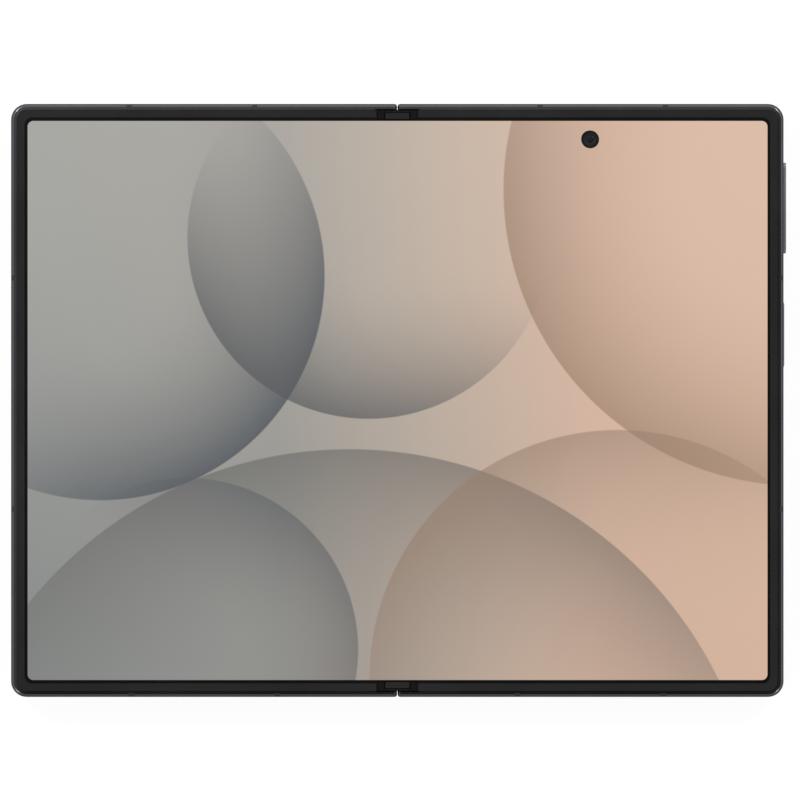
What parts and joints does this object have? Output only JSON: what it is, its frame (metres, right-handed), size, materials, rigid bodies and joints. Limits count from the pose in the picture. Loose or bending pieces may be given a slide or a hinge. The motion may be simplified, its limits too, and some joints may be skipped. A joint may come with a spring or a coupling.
{
  "type": "foldable smartphone",
  "caption": "Book-style folding phone lying open, with a wide inner folding screen, a geared two-axis hinge, side keys, a card tray and a rear camera island.",
  "frame": {"origin": "on the fold line at mid-height of the phone, at the level of the camera rings it stands on", "axes": "+X across the open phone towards the half with the keys, +Y along the fold to the top edge, +Z out of the inner screen"},
  "size_m": [0.162, 0.1238, 0.0073],
  "materials": {
    "frame_metal": "bead-blasted, anodised graphite with a faint violet tint",
    "antenna_plastic": "moulded, blasted with the frame",
    "back_glass": "etched matte graphite glass",
    "cover_glass": "polished black cover-screen glass",
    "island_metal": "fine-blasted anodised camera island",
    "ring_metal": "turned and polished ring",
    "lens_glass": "coated lens glass",
    "flash_diffuser": "ribbed clear diffuser over a yellow emitter",
    "screen": "lit flexible screen with a soft grey to peach picture",
    "bezel_plastic": "fine-textured soft black bezel",
    "hinge_steel": "ground stainless steel",
    "spine_metal": "polished anodised spine",
    "gear_brass": "cut sintered gear metal",
    "cell_foil": "black pouch film",
    "board": "solder-masked circuit board",
    "shield_steel": "tin-plated shield",
    "copper": "copper coil with a clear coat",
    "flex": "polyimide flexible circuit",
    "socket_steel": "drawn socket shell",
    "module_black": "moulded black housing",
    "seal": "die-cut adhesive seal",
    "support_steel": "thin stamped plate",
    "screw_steel": "small blackened screws",
    "magnet": "nickel-plated magnets"
  },
  "bodies": {
    "spine": {"spine_cover": "spine_metal", "upper_hinge_base": "hinge_steel", "lower_hinge_base": "hinge_steel", "torque_clips": "hinge_steel", "end_caps": "bezel_plastic", "fold_support_strip": "support_steel", "fold_cables": "flex", "screen_fold": "screen"},
    "right_half": {"right_frame": "frame_metal", "right_antenna_breaks": "antenna_plastic", "right_back_glass": "back_glass", "right_back_seal": "seal", "camera_island": "island_metal", "camera_lens_rings": "ring_metal", "camera_lens_glasses": "lens_glass", "camera_modules": "module_black", "flash_lens": "flash_diffuser", "right_battery": "cell_foil", "main_board": "board", "board_shields": "shield_steel", "charging_coil": "copper", "port_board": "board", "usb_socket": "socket_steel", "bottom_speaker": "module_black", "vibration_motor": "shield_steel", "side_key_flex": "flex", "inner_camera": "module_black", "right_screen": "screen", "right_support_plate": "support_steel", "right_bezel_trim": "bezel_plastic", "upper_right_rotor": "hinge_steel", "lower_right_rotor": "hinge_steel", "right_rotor_screws": "screw_steel", "right_magnets": "magnet"},
    "left_half": {"left_frame": "frame_metal", "left_antenna_breaks": "antenna_plastic", "cover_glass": "cover_glass", "cover_seal": "seal", "cover_display": "module_black", "cover_camera": "module_black", "left_battery": "cell_foil", "left_board": "board", "earpiece": "module_black", "card_reader": "shield_steel", "left_screen": "screen", "left_support_plate": "support_steel", "left_bezel_trim": "bezel_plastic", "upper_left_rotor": "hinge_steel", "lower_left_rotor": "hinge_steel", "left_rotor_screws": "screw_steel", "left_magnets": "magnet"},
    "right_pinions": {"right_pinions": "gear_brass"},
    "left_pinions": {"left_pinions": "gear_brass"},
    "right_idlers": {"right_idlers": "gear_brass"},
    "left_idlers": {"left_idlers": "gear_brass"},
    "right_wing": {"right_wing_plate": "support_steel"},
    "left_wing": {"left_wing_plate": "support_steel"},
    "volume_key": {"volume_key": "frame_metal"},
    "power_key": {"power_key": "frame_metal"},
    "card_tray": {"card_tray": "frame_metal"}
  },
  "joints": [
    {"name": "left_fold", "type": "hinge", "parent": "spine", "child": "left_half", "pos_m": [-0.0012, 0, 0.0062], "axis": [0, 1, 0], "range_deg": [0, 90], "deforming": ["screen_fold", "fold_cables"]},
    {"name": "right_fold", "type": "hinge", "parent": "spine", "child": "right_half", "pos_m": [0.0012, 0, 0.0062], "axis": [0, -1, 0], "range_deg": [0, 90]},
    {"name": "right_pinion_spin", "type": "hinge", "parent": "spine", "child": "right_pinions", "pos_m": [0.00201, 0, 0.00468], "axis": [0, 1, 0], "range_deg": [-320.1, 0]},
    {"name": "left_pinion_spin", "type": "hinge", "parent": "spine", "child": "left_pinions", "pos_m": [-0.00201, 0, 0.00468], "axis": [0, 1, 0], "range_deg": [0, 320.1]},
    {"name": "right_idler_spin", "type": "hinge", "parent": "spine", "child": "right_idlers", "pos_m": [0.00068, 0, 0.00448], "axis": [0, 1, 0], "range_deg": [0, 320.1]},
    {"name": "left_idler_spin", "type": "hinge", "parent": "spine", "child": "left_idlers", "pos_m": [-0.00068, 0, 0.00448], "axis": [0, 1, 0], "range_deg": [-320.1, 0]},
    {"name": "right_wing_tilt", "type": "hinge", "parent": "right_half", "child": "right_wing", "pos_m": [0.00478, 0, 0.00585], "axis": [0, 1, 0], "range_deg": [-20, 0]},
    {"name": "left_wing_tilt", "type": "hinge", "parent": "left_half", "child": "left_wing", "pos_m": [-0.00478, 0, 0.00585], "axis": [0, 1, 0], "range_deg": [0, 20]},
    {"name": "volume_rocker", "type": "hinge", "parent": "right_half", "child": "volume_key", "pos_m": [0.07885, 0.04026, 0.0047], "axis": [0, 0, 1], "range_deg": [-1.2, 1.2], "stiffness_Nm_per_rad": 0.3},
    {"name": "power_press", "type": "slide", "parent": "right_half", "child": "power_key", "axis": [-1, 0, 0], "range_m": [0, 0.0002], "stiffness_N_per_m": 4000},
    {"name": "card_tray_slide", "type": "slide", "parent": "left_half", "child": "card_tray", "axis": [-1, 0, 0], "range_m": [0, 0.022]}
  ],
  "couplings": [
    {"joint": "right_fold", "follows": "left_fold", "ratio": 1},
    {"joint": "right_pinion_spin", "follows": "left_fold", "ratio": -3.5556},
    {"joint": "left_pinion_spin", "follows": "left_fold", "ratio": 3.5556},
    {"joint": "right_idler_spin", "follows": "left_fold", "ratio": 3.5556},
    {"joint": "left_idler_spin", "follows": "left_fold", "ratio": -3.5556},
    {"joint": "right_wing_tilt", "follows": "left_fold", "ratio": -0.22222},
    {"joint": "left_wing_tilt", "follows": "left_fold", "ratio": 0.22222}
  ]
}
